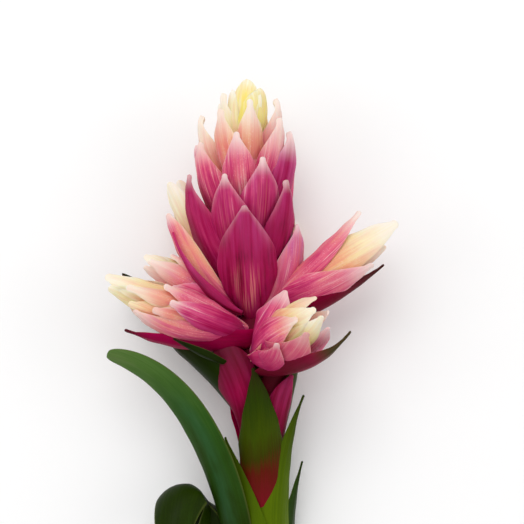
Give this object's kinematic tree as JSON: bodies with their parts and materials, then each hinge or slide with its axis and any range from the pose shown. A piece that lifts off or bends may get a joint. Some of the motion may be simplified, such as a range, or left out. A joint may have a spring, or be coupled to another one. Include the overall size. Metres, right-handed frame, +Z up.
{
  "type": "guzmania bromeliad",
  "caption": "Cut guzmania flower head on its leafy stem: a tall spike of overlapping pink bracts with smaller blooms round its foot, lying on its back.",
  "frame": {"origin": "on the surface it lies on, under the middle of its box", "axes": "+Y along the plant from the cut end to the tip of the spike, +Z up from the surface, +X to the right of the spike seen from above"},
  "size_m": [0.1438, 0.2438, 0.0794],
  "materials": {
    "magenta_bract": "satin, waxy, with fine lengthwise veins",
    "pink_bract": "satin, waxy, magenta foot fading through pink and peach to cream tips",
    "cream_bract": "satin, waxy, cream to pale yellow",
    "green_leaf": "satin, dark green with a soft sheen",
    "lime_sheath": "satin, yellow green",
    "scape_bract": "satin, olive green with a reddish brown foot",
    "stem": "satin, dull magenta and green"
  },
  "bodies": {
    "root": {"back_left_bloom": "pink_bract", "back_left_bloom_bract": "magenta_bract", "back_right_bloom": "pink_bract", "back_right_bloom_bract": "magenta_bract", "crown_bud": "cream_bract", "front_right_bloom": "cream_bract", "front_right_bloom_bract": "magenta_bract", "green_bract_back_left": "green_leaf", "green_bract_front": "scape_bract", "green_bract_left_front": "green_leaf", "green_bract_left_rear": "green_leaf", "green_bract_right": "green_leaf", "leaf_back": "green_leaf", "leaf_left": "green_leaf", "leaf_lower_left": "green_leaf", "left_bloom": "pink_bract", "left_bloom_bract": "magenta_bract", "left_rear_bloom": "pink_bract", "neck_bract_back": "magenta_bract", "neck_bract_left": "magenta_bract", "neck_bract_right": "magenta_bract", "right_bloom": "pink_bract", "right_bloom_bract": "magenta_bract", "sheath_back": "lime_sheath", "sheath_left": "lime_sheath", "sheath_right": "lime_sheath", "sheath_right_rear": "green_leaf", "spike": "magenta_bract", "stem": "stem", "upper_left_bloom": "cream_bract", "upper_left_bloom_bract": "pink_bract"}
  },
  "joints": []
}
